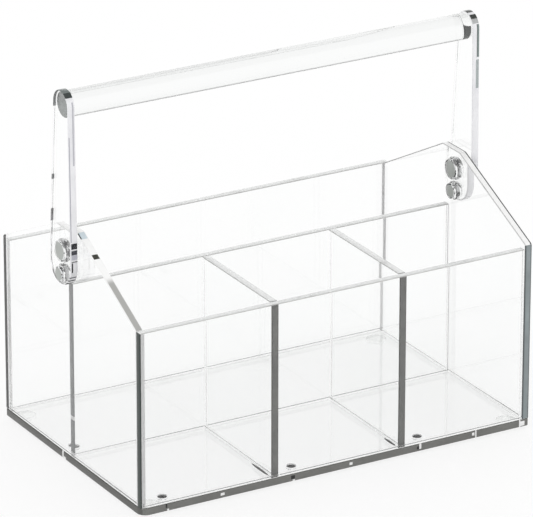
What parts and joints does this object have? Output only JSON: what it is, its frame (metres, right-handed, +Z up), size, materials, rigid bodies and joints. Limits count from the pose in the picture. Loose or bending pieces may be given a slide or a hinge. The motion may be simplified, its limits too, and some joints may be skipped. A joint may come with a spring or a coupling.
{
  "type": "flatware caddy",
  "caption": "Clear open-top caddy with a rear bay for plates, front bays for flatware, peaked ends and a round carry rod on two tapered arms.",
  "frame": {"origin": "middle of the footprint, on the surface that the feet stand on", "axes": "+X along the tray from the left end to the right end, +Y from the front bays to the rear bay, +Z up"},
  "size_m": [0.2684, 0.1624, 0.2302],
  "materials": {
    "clear_sheet": "clear, polished faces and edges",
    "clear_rod": "clear, polished",
    "clear_pin": "clear, polished",
    "clear_bumper": "clear, soft, satin"
  },
  "bodies": {
    "root": {"base_panel": "clear_sheet", "front_panel": "clear_sheet", "back_panel": "clear_sheet", "left_end_panel": "clear_sheet", "right_end_panel": "clear_sheet", "centre_divider": "clear_sheet", "front_divider_left": "clear_sheet", "front_divider_right": "clear_sheet", "left_handle_arm": "clear_sheet", "right_handle_arm": "clear_sheet", "handle_rod": "clear_rod", "left_upper_pin": "clear_pin", "left_lower_pin": "clear_pin", "right_upper_pin": "clear_pin", "right_lower_pin": "clear_pin", "left_upper_spacer": "clear_pin", "left_lower_spacer": "clear_pin", "right_upper_spacer": "clear_pin", "right_lower_spacer": "clear_pin", "foot_front_left": "clear_bumper", "foot_front_right": "clear_bumper", "foot_rear_left": "clear_bumper", "foot_rear_right": "clear_bumper"}
  },
  "joints": []
}
